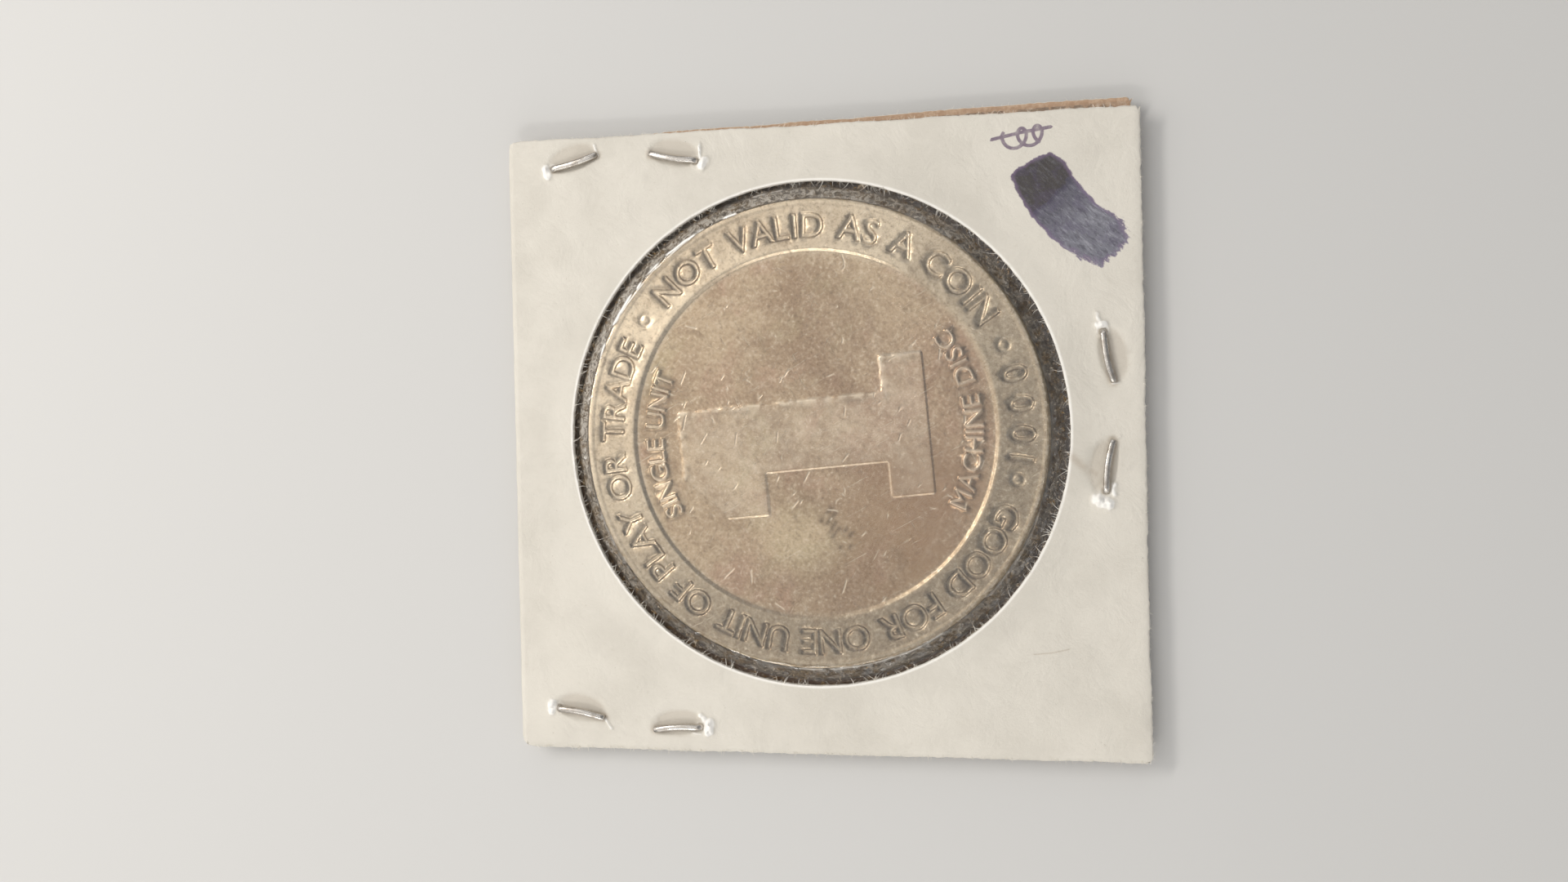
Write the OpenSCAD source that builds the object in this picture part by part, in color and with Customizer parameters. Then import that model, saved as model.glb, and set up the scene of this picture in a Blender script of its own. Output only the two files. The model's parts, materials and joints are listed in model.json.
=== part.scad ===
// Dollar-size metal token stapled into a folded card holder with clear film windows.
// Millimetres. +Z points out of the front face, and the rest plane is z = 0, the flat of the back film.
// The origin is on the token's own axis.

/* [Token] */
// Diameter of the token over its edge
token_d = 37.1; // [36.5:0.1:37.4]
// Thickness of the token from rim to rim
token_t = 2.5; // [2.2:0.05:2.8]
// Width of the raised rim
rim_w = 0.45; // [0.3:0.05:0.8]
// How far the legend band lies below the rim
band_drop = 0.06; // [0.02:0.01:0.15]
// Diameter of the recessed field inside the legend band
field_d = 29; // [27:0.1:30]
// How far the field lies below the legend band
field_drop = 0.14; // [0.1:0.01:0.3]
// Bevel on the two corners of the edge
edge_bevel = 0.15; // [0.05:0.01:0.3]

/* [Numeral] */
// Overall length of the block numeral, foot to tip
numeral_len = 20; // [16:0.5:21]
// Width of its stem
stem_w = 5.5; // [4:0.1:7]
// Width of its foot
foot_w = 11.1; // [8:0.1:12]
// Thickness of its foot along the stem
foot_h = 3.4; // [2:0.1:5]
// How far the flag reaches out from the stem
flag_w = 3.3; // [2:0.1:4]
// Length of the flag's square end
flag_h = 3.5; // [2:0.1:4]
// How far the numeral stands above the field
numeral_rise = 0.07; // [0.05:0.01:0.15]
// Turn of the stem from the X axis
numeral_turn = 4.5; // [-10:0.5:10]
// How far the numeral's middle lies from the token's centre, towards its tip
numeral_shift = 0.75; // [0:0.05:1.5]

/* [Card] */
// Width of the folded card, over the fold
card_w = 50.8; // [50:0.1:52]
// Height of the folded card
card_h = 50; // [49.5:0.1:52]
// Thickness of the board
card_t = 0.5; // [0.35:0.01:0.6]
// Diameter of the die-cut windows
window_d = 39.9; // [39.5:0.1:40.2]
// How far the card's middle lies to the right of the windows' centre
card_dx = 0.16; // [-0.5:0.01:0.5]
// How far the card's middle lies above the windows' centre
card_dy = -0.5; // [-0.8:0.01:0.5]
// Radius of the card's corners
corner_r = 0.6; // [0.2:0.1:1.5]
// How far each panel is pushed outwards at the edge of its window
panel_lift = 0.2; // [0.1:0.01:0.3]
// Turn of the back panel about the fold, from a fold that is not quite square
back_turn = 0.7; // [0:0.1:0.8]
// How much narrower the back panel is than the front panel
back_trim = 0.3; // [0:0.1:0.5]

/* [Film] */
// Thickness of the clear film
film_t = 0.06; // [0.05:0.01:0.08]
// Gap between the film and the token
film_gap = 0.05; // [0.03:0.01:0.08]
// How far the film stops short of the card's edges
film_inset = 0.4; // [0.2:0.1:1]

/* [Staples] */
// Diameter of the wire
wire_d = 0.5; // [0.4:0.01:0.55]
// Distance between the middles of a staple's two legs
staple_span = 12.2; // [11:0.1:13]
// Reach of a clinched leg, from the middle of its hole to its tip
leg_reach = 3.9; // [3:0.1:5]
// Radius of the bends, at the middle of the wire
bend_r = 0.35; // [0.3:0.01:0.4]
// Diameter of the holes that the legs pass through
leg_hole_d = 0.6; // [0.56:0.01:0.8]

/* [Hidden] */
$fn = 96;

token_r = token_d / 2;
mid_z = film_t + film_gap + token_t / 2;       // height of the plane between the two halves
film_top_z = token_t / 2 + film_gap;           // inner side of the film's flat, above mid_z
token_clear = 0.1;                             // room between the token's edge and the film
skirt_foot = 0.06;                             // how far inside its window a film starts to rise
fold_shift = 0.32;                             // most that back_turn moves the back window aside
ramp_r0 = window_d / 2 - fold_shift - skirt_foot;
ramp_r1 = 22.6;                                // radius where a panel lies flat again, inside the staples
ramp_steps = 6;
far = 100;

card_x0 = card_dx - card_w / 2;                // outermost line of the fold
card_x1 = card_dx + card_w / 2;
card_y0 = card_dy - card_h / 2;
card_y1 = card_dy + card_h / 2;
spine_r = film_t + card_t;                     // outer radius of the fold
fold_x = card_x0 + spine_r;

panel_in = film_t;                             // inner face of a flat panel, above mid_z
panel_out = film_t + card_t;                   // outer face of a flat panel, above mid_z
crown_z = panel_out + wire_d / 2 + 0.01;       // middle of a crown, below mid_z
clinch_z = panel_out + wire_d / 2 + 0.02;      // middle of a clinched leg, above mid_z

// Each staple: middle of its crown, turn of the crown, and swing of its two legs, which clinch
// towards each other on the front
top_staple = [-15.15, 22.11, 0, 15, 12];
right_staple = [22.49, 1.24, -90, 11, 9];
bottom_staple = [-15.74, -22.84, 173.9, 10.5, 4.5];
staples = [top_staple, right_staple, bottom_staple];

// Height gained by a panel at radius r: a half cosine from the window's edge outwards
function lift(r) = panel_lift * (1 + cos(180 * min(1, max(0, (r - ramp_r0) / (ramp_r1 - ramp_r0))))) / 2;
function ramp_radii() = [for (i = [0:ramp_steps]) ramp_r0 + (ramp_r1 - ramp_r0) * i / ramp_steps];
// Line that follows the lift, at height z above mid_z
function ramp_line(z) = [for (r = ramp_radii()) [r, z + lift(r)]];
function reversed(points) = [for (i = [len(points) - 1:-1:0]) points[i]];

// ---- token ----
module token_blank() {
    half = token_t / 2;
    band_z = half - band_drop;
    field_z = band_z - field_drop;
    step = 0.15;
    upper = [
        [0, field_z], [field_d / 2 - step, field_z], [field_d / 2 + step, band_z],
        [token_r - rim_w - step, band_z], [token_r - rim_w, half],
        [token_r - edge_bevel, half], [token_r, half - edge_bevel]
    ];
    rotate_extrude() polygon(concat(upper, [for (p = reversed(upper)) [p[0], -p[1]]]));
}

module numeral_outline() {
    tip = -numeral_len / 2 - numeral_shift;
    foot = tip + numeral_len;
    flag_x0 = tip + flag_w;
    flag_x1 = flag_x0 + flag_h;
    polygon([
        [tip, stem_w / 2], [foot - foot_h, stem_w / 2], [foot - foot_h, foot_w / 2], [foot, foot_w / 2],
        [foot, -foot_w / 2], [foot - foot_h, -foot_w / 2], [foot - foot_h, -stem_w / 2],
        [flag_x1, -stem_w / 2], [flag_x1, -stem_w / 2 - flag_w], [flag_x0, -stem_w / 2 - flag_w],
        [tip, -stem_w / 2]
    ]);
}

module token() {
    field_z = token_t / 2 - band_drop - field_drop;
    sunk = 0.3;
    color("rosybrown") translate([0, 0, mid_z]) {
        token_blank();
        for (side = [0, 180])
            rotate([side, 0, 0]) rotate(numeral_turn)
                translate([0, 0, field_z - sunk]) linear_extrude(sunk + numeral_rise) numeral_outline();
    }
}

// ---- card ----
// The half of the card to the right of the fold, drawn in by inset on its three open sides, and
// by trim too on the side across from the fold
module half_outline(inset = 0, trim = 0) {
    r = corner_r;
    x1 = card_x1 - inset - trim;
    y0 = card_y0 + inset;
    y1 = card_y1 - inset;
    translate([fold_x, y0 + r]) square([x1 - fold_x, y1 - y0 - 2 * r]);
    translate([fold_x, y0]) square([x1 - fold_x - r, y1 - y0]);
    for (y = [y0 + r, y1 - r]) translate([x1 - r, y]) circle(r);
}

// The back half is turned about the middle of the fold, and still ends on the fold's line
module back_outline(inset = 0) {
    intersection() {
        translate([fold_x, card_dy]) rotate(back_turn) translate([-fold_x, -card_dy]) union() {
            half_outline(inset, back_trim);
            translate([fold_x - 1, card_y0 + inset]) square([2, card_h - 2 * inset]);
        }
        translate([fold_x, -far / 2]) square(far);
    }
}

module leg_holes() {
    for (s = staples) translate([s[0], s[1], 0]) rotate(s[2])
        for (side = [-1, 1]) translate([side * staple_span / 2, 0, -far / 2]) cylinder(d = leg_hole_d, h = far);
}

// A sheet of the child's outline, from height z0 to z1: flat outside ramp_r1, and inside it a
// turned piece whose section is given
module lifted_sheet(z0, z1, section) {
    difference() {
        translate([0, 0, z0]) linear_extrude(z1 - z0) children();
        translate([0, 0, -far / 2]) cylinder(r = ramp_r1, h = far);
    }
    rotate_extrude() polygon(section);
}

module panel_body() {
    lifted_sheet(panel_in, panel_out, concat(ramp_line(panel_in), reversed(ramp_line(panel_out)))) children();
}

module front_panel() {
    color("ivory") translate([0, 0, mid_z]) difference() {
        panel_body() half_outline();
        translate([0, 0, -far / 2]) cylinder(d = window_d, h = far);
        leg_holes();
    }
}

module back_panel() {
    color("ivory") translate([0, 0, mid_z]) difference() {
        mirror([0, 0, 1]) panel_body() back_outline();
        translate([fold_x, card_dy]) rotate(back_turn) translate([-fold_x, -card_dy, -far / 2])
            cylinder(d = window_d, h = far);
        leg_holes();
    }
}

module fold_spine() {
    color("ivory") translate([fold_x, card_y1, mid_z]) rotate([90, 0, 0])
        linear_extrude(card_h) difference() {
            circle(spine_r);
            circle(film_t);
            translate([0, -far / 2]) square(far);
        }
}

// ---- film ----
// foot_r is where the film leaves its panel and rises over the token
module film_body(foot_r) {
    edge_r = token_r + token_clear;
    rising = [[0, film_top_z], [edge_r, film_top_z], [foot_r, lift(foot_r)]];
    under = concat(rising, [for (r = ramp_radii()) if (r > foot_r) [r, lift(r)]]);
    over = [for (p = reversed(under)) [p[0], p[1] + film_t]];
    lifted_sheet(0, film_t, concat(under, over)) children();
}

module front_film() {
    color("lightblue", 0.4) translate([0, 0, mid_z]) difference() {
        film_body(window_d / 2 - skirt_foot) half_outline(film_inset);
        leg_holes();
    }
}

module back_film() {
    color("lightblue", 0.4) translate([0, 0, mid_z]) difference() {
        mirror([0, 0, 1]) film_body(ramp_r0) back_outline(film_inset);
        leg_holes();
    }
}

// ---- staples ----
// One quarter bend from the direction +X to the direction +Z, starting at the origin
module wire_bend() {
    translate([0, 0, bend_r]) rotate([90, 0, 0]) rotate(-90)
        rotate_extrude(angle = 90) translate([bend_r, 0]) circle(d = wire_d);
}

module wire_run(length) { rotate([0, 90, 0]) cylinder(d = wire_d, h = length); }

// A leg from the crown's bend up through the card and over, clinched towards -X
module staple_leg(swing) {
    low = bend_r - crown_z;
    high = clinch_z - bend_r;
    translate([-bend_r, 0, -crown_z]) wire_bend();
    translate([0, 0, low]) cylinder(d = wire_d, h = high - low);
    rotate(swing) {
        translate([-bend_r, 0, clinch_z]) mirror([0, 0, 1]) wire_bend();
        translate([-leg_reach, 0, clinch_z]) wire_run(leg_reach - bend_r);
    }
}

module staple(place) {
    half = staple_span / 2;
    color("silver") translate([place[0], place[1], mid_z]) rotate(place[2]) {
        translate([bend_r - half, 0, -crown_z]) wire_run(staple_span - 2 * bend_r);
        translate([half, 0, 0]) staple_leg(-place[4]);
        translate([-half, 0, 0]) mirror([1, 0, 0]) staple_leg(-place[3]);
    }
}

module staple_top() { staple(top_staple); }
module staple_right() { staple(right_staple); }
module staple_bottom() { staple(bottom_staple); }

token();
front_panel();
back_panel();
fold_spine();
front_film();
back_film();
staple_top();
staple_right();
staple_bottom();
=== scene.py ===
"""A worn metal token in a stapled card holder with clear film windows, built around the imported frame.

Every helper works in millimetres, with +Z out of the front face, and meshes turn into metres at the end.
"""
import json
import math

import bpy
import numpy as np
from mathutils import Matrix, Vector
from mathutils.geometry import delaunay_2d_cdt

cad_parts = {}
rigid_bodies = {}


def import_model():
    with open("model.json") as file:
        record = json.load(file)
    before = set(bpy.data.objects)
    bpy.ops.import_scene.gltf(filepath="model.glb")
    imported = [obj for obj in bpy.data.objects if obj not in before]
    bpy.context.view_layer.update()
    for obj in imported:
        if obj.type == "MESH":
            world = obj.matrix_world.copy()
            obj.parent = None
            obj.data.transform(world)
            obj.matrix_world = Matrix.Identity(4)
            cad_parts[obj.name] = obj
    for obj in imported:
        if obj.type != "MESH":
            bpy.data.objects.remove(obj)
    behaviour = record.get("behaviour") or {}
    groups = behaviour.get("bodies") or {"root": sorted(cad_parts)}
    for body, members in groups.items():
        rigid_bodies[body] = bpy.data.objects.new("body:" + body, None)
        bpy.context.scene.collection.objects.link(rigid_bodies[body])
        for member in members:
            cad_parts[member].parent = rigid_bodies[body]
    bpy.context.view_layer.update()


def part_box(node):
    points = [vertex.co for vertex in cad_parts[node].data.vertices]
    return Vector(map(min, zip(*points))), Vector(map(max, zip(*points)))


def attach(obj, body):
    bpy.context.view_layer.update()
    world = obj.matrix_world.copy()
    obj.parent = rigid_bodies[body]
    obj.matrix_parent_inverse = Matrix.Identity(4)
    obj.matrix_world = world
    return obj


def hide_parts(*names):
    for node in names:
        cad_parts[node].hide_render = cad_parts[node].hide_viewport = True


for leftover in list(bpy.data.objects):
    bpy.data.objects.remove(leftover)
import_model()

MM = 0.001
SHARP_ANGLE = math.radians(50)


def extent(node):
    """Lowest and highest corner of a CAD node, in millimetres."""
    low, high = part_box(node)
    return np.array(low) / MM, np.array(high) / MM


# ---- sizes, from the frame where it has them ----
TOKEN_LOW, TOKEN_HIGH = extent("token")
FRONT_LOW, FRONT_HIGH = extent("front_panel")
SPINE_LOW, SPINE_HIGH = extent("fold_spine")
FILM_HIGH = extent("front_film")[1]
TOKEN_R = (TOKEN_HIGH[0] - TOKEN_LOW[0]) / 2
TOKEN_HALF = (TOKEN_HIGH[2] - TOKEN_LOW[2]) / 2
MID_Z = (TOKEN_HIGH[2] + TOKEN_LOW[2]) / 2
SPINE_R = (SPINE_HIGH[2] - SPINE_LOW[2]) / 2
FILM_T = 0.06                      # thickness of a film
FOLD_X = SPINE_HIGH[0]
CARD_MID_Y = (SPINE_HIGH[1] + SPINE_LOW[1]) / 2
WINDOW_R = 19.95
PANEL_LIFT = 0.2                   # how far a panel rises over the token, between the two radii below
RAMP_R0, RAMP_R1 = 19.57, 22.6
BACK_TURN = math.radians(0.7)      # how far the back panel is turned about the fold
BACK_TRIM = 0.3                    # how much narrower it is than the front one
TOP_REACH = 0.15                   # how far the card's top edge stands past the CAD panel's
TOP_FALL = 0.4                     # how much lower the front panel's top edge is at the open side
CORNER_R = 0.5                     # radius of the card's corners
RAGGED = 0.035                     # how far the fine raggedness of its cut edges reaches
LEGEND_R, LEGEND_H = 16.42, 1.85   # middle radius of the band's lettering, and its height
FILM_TOP = FILM_HIGH[2] - MID_Z    # height of the front film's outer face above the token's middle

# ---- staples: middle of the crown, turn of the crown, and swing of the two clinched legs ----
STAPLES = {
    "staple_top": (-15.15, 22.11, 0, 15, 12),
    "staple_right": (22.49, 1.24, -90, 11, 9),
    "staple_bottom": (-15.74, -22.84, 173.9, 10.5, 4.5),
}
STAPLE_SPAN = 12.2                 # distance between a staple's two holes
LEG_REACH = 3.9                    # how far a clinched leg reaches over the card
WIRE_D = 0.5
BEND_R = 0.35                      # radius of the wire's bends, at its middle
CROWN_Z = -(SPINE_R + WIRE_D / 2 + 0.01)
CLINCH_Z = SPINE_R + WIRE_D / 2 + 0.02


# ---- shapes in the plane ----
def smooth(t):
    """Eases from 0 to 1 as t does, and clamps it."""
    t = np.clip(t, 0, 1)
    return t * t * (3 - 2 * t)


def hump(distance, width):
    """A bell, 1 at no distance and falling off over the width."""
    return np.exp(-((distance / width) ** 2))


def noise(x, y, size, seed):
    """Smooth noise from -1 to 1, with cells of the given size."""
    cells = 64
    lattice = np.random.default_rng(seed).uniform(-1, 1, (cells, cells))
    u, v = x / size, y / size
    i, j = np.floor(u).astype(int), np.floor(v).astype(int)
    s, t = smooth(u - i), smooth(v - j)

    def corner(a, b):
        return lattice[(i + a) % cells, (j + b) % cells]

    low = corner(0, 0) * (1 - s) + corner(1, 0) * s
    high = corner(0, 1) * (1 - s) + corner(1, 1) * s
    return low * (1 - t) + high * t


def turned(points, angle):
    """Points turned counterclockwise about the origin, by an angle in radians."""
    c, s = math.cos(angle), math.sin(angle)
    return np.asarray(points, float) @ np.array([[c, s], [-s, c]])


def to_segments(points, segments):
    """Distance from each point to the nearest of the segments, given as (n, 2, 2)."""
    start, along = segments[:, 0], segments[:, 1] - segments[:, 0]
    offset = points[:, None] - start[None]
    length2 = np.maximum((along ** 2).sum(1), 1e-12)
    t = np.clip((offset * along).sum(2) / length2, 0, 1)
    return np.sqrt(((offset - t[..., None] * along) ** 2).sum(2).min(1))


def depth_inside(points, segments):
    """Distance to a closed outline's segments, positive inside it and negative outside."""
    (x0, y0), (x1, y1) = segments[:, 0].T, segments[:, 1].T
    x, y = points[:, :1], points[:, 1:]
    rise = np.where(y1 == y0, 1e-12, y1 - y0)
    crossed = ((y0 > y) != (y1 > y)) & (x < x0 + (y - y0) / rise * (x1 - x0))
    inside = crossed.sum(1) % 2 == 1
    return np.where(inside, 1, -1) * to_segments(points, segments)


def chain(points, closed=False):
    """Segments between points in a row, and back to the first if closed."""
    points = np.asarray(points, float)
    ends = np.roll(points, -1, axis=0)
    pairs = np.stack([points, ends], axis=1)
    return pairs if closed else pairs[:-1]


def along_segments(segments, spacing, offsets):
    """Points spaced along segments, and beside them on both sides at each offset."""
    found = []
    for start, end in segments:
        length = np.hypot(*(end - start))
        count = max(1, int(math.ceil(length / spacing)))
        t = (np.arange(count) + 0.5)[:, None] / count
        line = start + t * (end - start)
        normal = np.array([start[1] - end[1], end[0] - start[0]]) / max(length, 1e-9)
        for offset in offsets:
            found += [line + normal * offset, line - normal * offset]
    return np.concatenate(found)


def ring(radius, count, centre=(0, 0)):
    """Points evenly round a circle, counterclockwise."""
    angle = np.arange(count) * 2 * math.pi / count
    return np.stack([radius * np.cos(angle) + centre[0], radius * np.sin(angle) + centre[1]], axis=1)


def grid(low, high, spacing, seed=1):
    """A jittered triangular grid of points over a rectangle."""
    draws = np.random.default_rng(seed)
    rows = np.arange(low[1], high[1], spacing * 0.866)
    columns = np.arange(low[0], high[0], spacing)
    x, y = np.meshgrid(columns, rows)
    x = x + (np.arange(len(rows)) % 2)[:, None] * spacing / 2
    points = np.stack([x.ravel(), y.ravel()], axis=1)
    return points + draws.uniform(-0.1, 0.1, points.shape) * spacing


def thinned(points, cell):
    """The points with at most one kept in each square cell."""
    kept = np.unique(np.round(points / cell).astype(int), axis=0, return_index=True)[1]
    return points[np.sort(kept)]


def triangulated(rings, fill):
    """Delaunay triangles of the area inside the first ring and outside the others.

    Returns the points, the triangles, all counterclockwise, and the indices of each ring's points."""
    edges, firsts = [], []
    count = 0
    for points in rings:
        firsts.append(count)
        edges += [(count + k, count + (k + 1) % len(points)) for k in range(len(points))]
        count += len(points)
    cloud = np.concatenate([*rings, fill])
    made = delaunay_2d_cdt([Vector(p) for p in cloud], edges, [], 1, 1e-6)
    points = np.array([tuple(p) for p in made[0]])
    index = np.zeros(len(cloud), int)
    for new, olds in enumerate(made[3]):
        index[olds] = new
    ring_index = [index[first:first + len(points)] for first, points in zip(firsts, rings)]
    faces = np.array(made[2])
    for hole in ring_index[1:]:
        faces = faces[~np.isin(faces, hole).all(1)]
    a, b, c = (points[faces[:, k]] for k in range(3))
    area = (b[:, 0] - a[:, 0]) * (c[:, 1] - a[:, 1]) - (b[:, 1] - a[:, 1]) * (c[:, 0] - a[:, 0])
    faces[area < 0] = faces[area < 0][:, ::-1]
    return points, faces, ring_index


# ---- making pieces ----
def make_piece(name, points, faces, material, marks=None):
    """A smooth-shaded mesh object from millimetre points above MID_Z, with float marks on its points."""
    mesh = bpy.data.meshes.new(name)
    lifted = np.asarray(points, float) + (0, 0, MID_Z)
    mesh.from_pydata((lifted * MM).tolist(), [], [list(map(int, f)) for f in faces])
    for mark, values in (marks or {}).items():
        mesh.attributes.new(mark, "FLOAT", "POINT").data.foreach_set("value", np.asarray(values, np.float32))
    mesh.materials.append(material)
    mesh.shade_smooth()
    mesh.set_sharp_from_angle(angle=SHARP_ANGLE)
    mesh.update()
    piece = bpy.data.objects.new(name, mesh)
    bpy.context.scene.collection.objects.link(piece)
    return piece


def strip(row_a, row_b):
    """Quads between two closed rows of the same length."""
    a, b = np.asarray(row_a), np.asarray(row_b)
    return np.stack([a, np.roll(a, -1), np.roll(b, -1), b], axis=1).tolist()


class Solid:
    """Collects points, faces and marks of a closed mesh."""

    def __init__(self):
        self.points, self.faces, self.marks = [], [], {}
        self.count = 0

    def add(self, points, **marks):
        """Adds points, and returns their indices."""
        points = np.asarray(points, float)
        self.points.append(points)
        for name, values in marks.items():
            self.marks.setdefault(name, []).append((self.count, np.broadcast_to(values, len(points))))
        first, self.count = self.count, self.count + len(points)
        return np.arange(first, self.count)

    def piece(self, name, material):
        """The finished object, with marks of 0 where none were given."""
        marks = {}
        for mark, parts in self.marks.items():
            marks[mark] = np.zeros(self.count)
            for first, values in parts:
                marks[mark][first:first + len(values)] = values
        return make_piece(name, np.concatenate(self.points), self.faces, material, marks)


def outward(points):
    """Unit normals of a closed counterclockwise row of points, pointing out of it."""
    tangent = np.roll(points, -1, axis=0) - np.roll(points, 1, axis=0)
    tangent /= np.maximum(np.hypot(*tangent.T), 1e-9)[:, None]
    return np.stack([tangent[:, 1], -tangent[:, 0]], axis=1)


# Where the rows of points lie on a sheet's rounded wall, as shares of its height.
EDGE_ROWS = np.array([0.0, 0.08, 0.22, 0.42, 0.62, 0.82, 0.94, 1.0])


def add_sheet(solid, rings, bulges, fill, top, bottom, marks=None, crumble=0.0, inside_up=False):
    """A closed sheet between two height functions, with rounded walls along its rings.

    The first ring is the outline and the others are holes, all counterclockwise. bulges says how far
    each ring's wall swells, one value or one for each point. marks(points) gives the upper face's marks,
    and inside_up says which face is the card's inside."""
    flat, faces, ring_index = triangulated(rings, fill)
    x, y = flat.T
    values = marks(flat) if marks else {}
    upper = solid.add(np.stack([x, y, top(x, y)], axis=1), cut=0.0, inside=float(inside_up), **values)
    lower = solid.add(np.stack([x, y, bottom(x, y)], axis=1), cut=0.0, inside=float(not inside_up))
    solid.faces += upper[faces].tolist() + lower[faces[:, ::-1]].tolist()
    for number, (index, bulge) in enumerate(zip(ring_index, bulges)):
        hole = number > 0
        normal = outward(flat[index]) * (-1 if hole else 1)
        high, low = top(*flat[index].T), bottom(*flat[index].T)
        previous = upper[index]
        for level, share in enumerate(EDGE_ROWS[1:-1]):
            swell = np.sqrt(np.maximum(0, 1 - abs(2 * share - 1) ** 2.6)) * np.asarray(bulge)
            rough = noise(flat[index][:, 0] * 1.0, flat[index][:, 1] + 3.7 * level, 0.3, 40 + level)
            place = flat[index] + normal * (swell * (1 + crumble * rough))[:, None]
            height = high + (low - high) * share
            row = solid.add(np.column_stack([place, height]), cut=float(math.sin(math.pi * share)))
            solid.faces += strip(row, previous) if not hole else strip(previous, row)
            previous = row
        solid.faces += strip(lower[index], previous) if not hole else strip(previous, lower[index])


# ---- materials ----
class Finish:
    """A node material written in short lines. Its coordinates are millimetres on the piece."""

    def __init__(self, name):
        self.material = bpy.data.materials.new(name)
        self.material.use_nodes = True
        self.tree = self.material.node_tree
        self.shader = self.tree.nodes["Principled BSDF"]
        self.output = self.tree.nodes["Material Output"]
        coordinates = self.node("ShaderNodeTexCoord").outputs["Object"]
        self.place = self.vector("SCALE", coordinates, scale=1 / MM)

    def node(self, kind, inputs=None, **settings):
        """A new node with its settings, and its inputs linked to sockets or given values."""
        made = self.tree.nodes.new(kind)
        for name, value in settings.items():
            setattr(made, name, value)
        for key, value in (inputs or {}).items():
            if isinstance(value, bpy.types.NodeSocket):
                self.tree.links.new(value, made.inputs[key])
            elif value is not None:
                made.inputs[key].default_value = value
        return made

    def vector(self, operation, a, b=None, scale=None):
        made = self.node("ShaderNodeVectorMath", {0: a, 1: b, "Scale": scale}, operation=operation)
        return made.outputs["Value" if operation == "LENGTH" else "Vector"]

    def radius(self):
        """Distance from the Z axis."""
        return self.vector("LENGTH", self.vector("MULTIPLY", self.place, (1, 1, 0)))

    def distance(self, x, y, stretch=(1, 1, 1)):
        """Distance from a point on the base plane, stretched along the axes."""
        offset = self.vector("SUBTRACT", self.place, (x, y, 0))
        return self.vector("LENGTH", self.vector("MULTIPLY", offset, stretch))

    def math(self, operation, a, b=None, clamp=False):
        return self.node("ShaderNodeMath", {0: a, 1: b}, operation=operation, use_clamp=clamp).outputs[0]

    def plus(self, a, b, clamp=False):
        return self.math("ADD", a, b, clamp)

    def minus(self, a, b):
        return self.math("SUBTRACT", a, b)

    def times(self, a, b, clamp=False):
        return self.math("MULTIPLY", a, b, clamp)

    def turn_stretch(self, angle=0.0, stretch=(1, 1, 1), shift=(0, 0, 0)):
        """The piece's coordinates, shifted, turned about Z and then stretched."""
        moved = self.vector("SUBTRACT", self.place, shift)
        spun = self.node("ShaderNodeVectorRotate", {"Vector": moved, "Angle": math.radians(angle)},
                         rotation_type="Z_AXIS")
        return self.vector("MULTIPLY", spun.outputs[0], stretch)

    def noise(self, scale, detail=3.0, roughness=0.55, place=None, distortion=0.0):
        made = self.node("ShaderNodeTexNoise", {
            "Vector": place or self.place, "Scale": scale, "Detail": detail, "Roughness": roughness,
            "Distortion": distortion})
        return made.outputs["Fac"]

    def span(self, value, low, high, to_low=0.0, to_high=1.0):
        """Maps low..high to to_low..to_high smoothly, and clamps it."""
        made = self.node("ShaderNodeMapRange", {
            "Value": value, "From Min": low, "From Max": high, "To Min": to_low, "To Max": to_high},
            interpolation_type="SMOOTHSTEP")
        return made.outputs["Result"]

    def mix(self, share, a, b):
        """Mixes two colours, each a socket or an sRGB colour from 0 to 255."""
        made = self.node("ShaderNodeMix", {"Factor": share}, data_type="RGBA")
        for socket, value in ((made.inputs[6], a), (made.inputs[7], b)):
            if isinstance(value, bpy.types.NodeSocket):
                self.tree.links.new(value, socket)
            else:
                socket.default_value = (*shade(*value), 1)
        return made.outputs[2]

    def mark(self, name):
        return self.node("ShaderNodeAttribute", attribute_name=name).outputs["Fac"]

    def bump(self, height, depth, normal=None):
        """A bump of the given depth, in millimetres, on top of another."""
        made = self.node("ShaderNodeBump", {"Height": height, "Distance": depth * MM, "Strength": 1.0,
                                            "Normal": normal})
        return made.outputs["Normal"]

    def set(self, **inputs):
        """Sets the Principled shader's sockets, where _ stands for a space."""
        for key, value in inputs.items():
            socket = self.shader.inputs[key.replace("_", " ")]
            if isinstance(value, bpy.types.NodeSocket):
                self.tree.links.new(value, socket)
            else:
                socket.default_value = value


def shade(red, green, blue):
    """Linear colour of an sRGB colour given from 0 to 255."""
    return tuple(((c / 255 + 0.055) / 1.055) ** 2.4 if c > 10 else c / 3295 for c in (red, green, blue))


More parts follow.
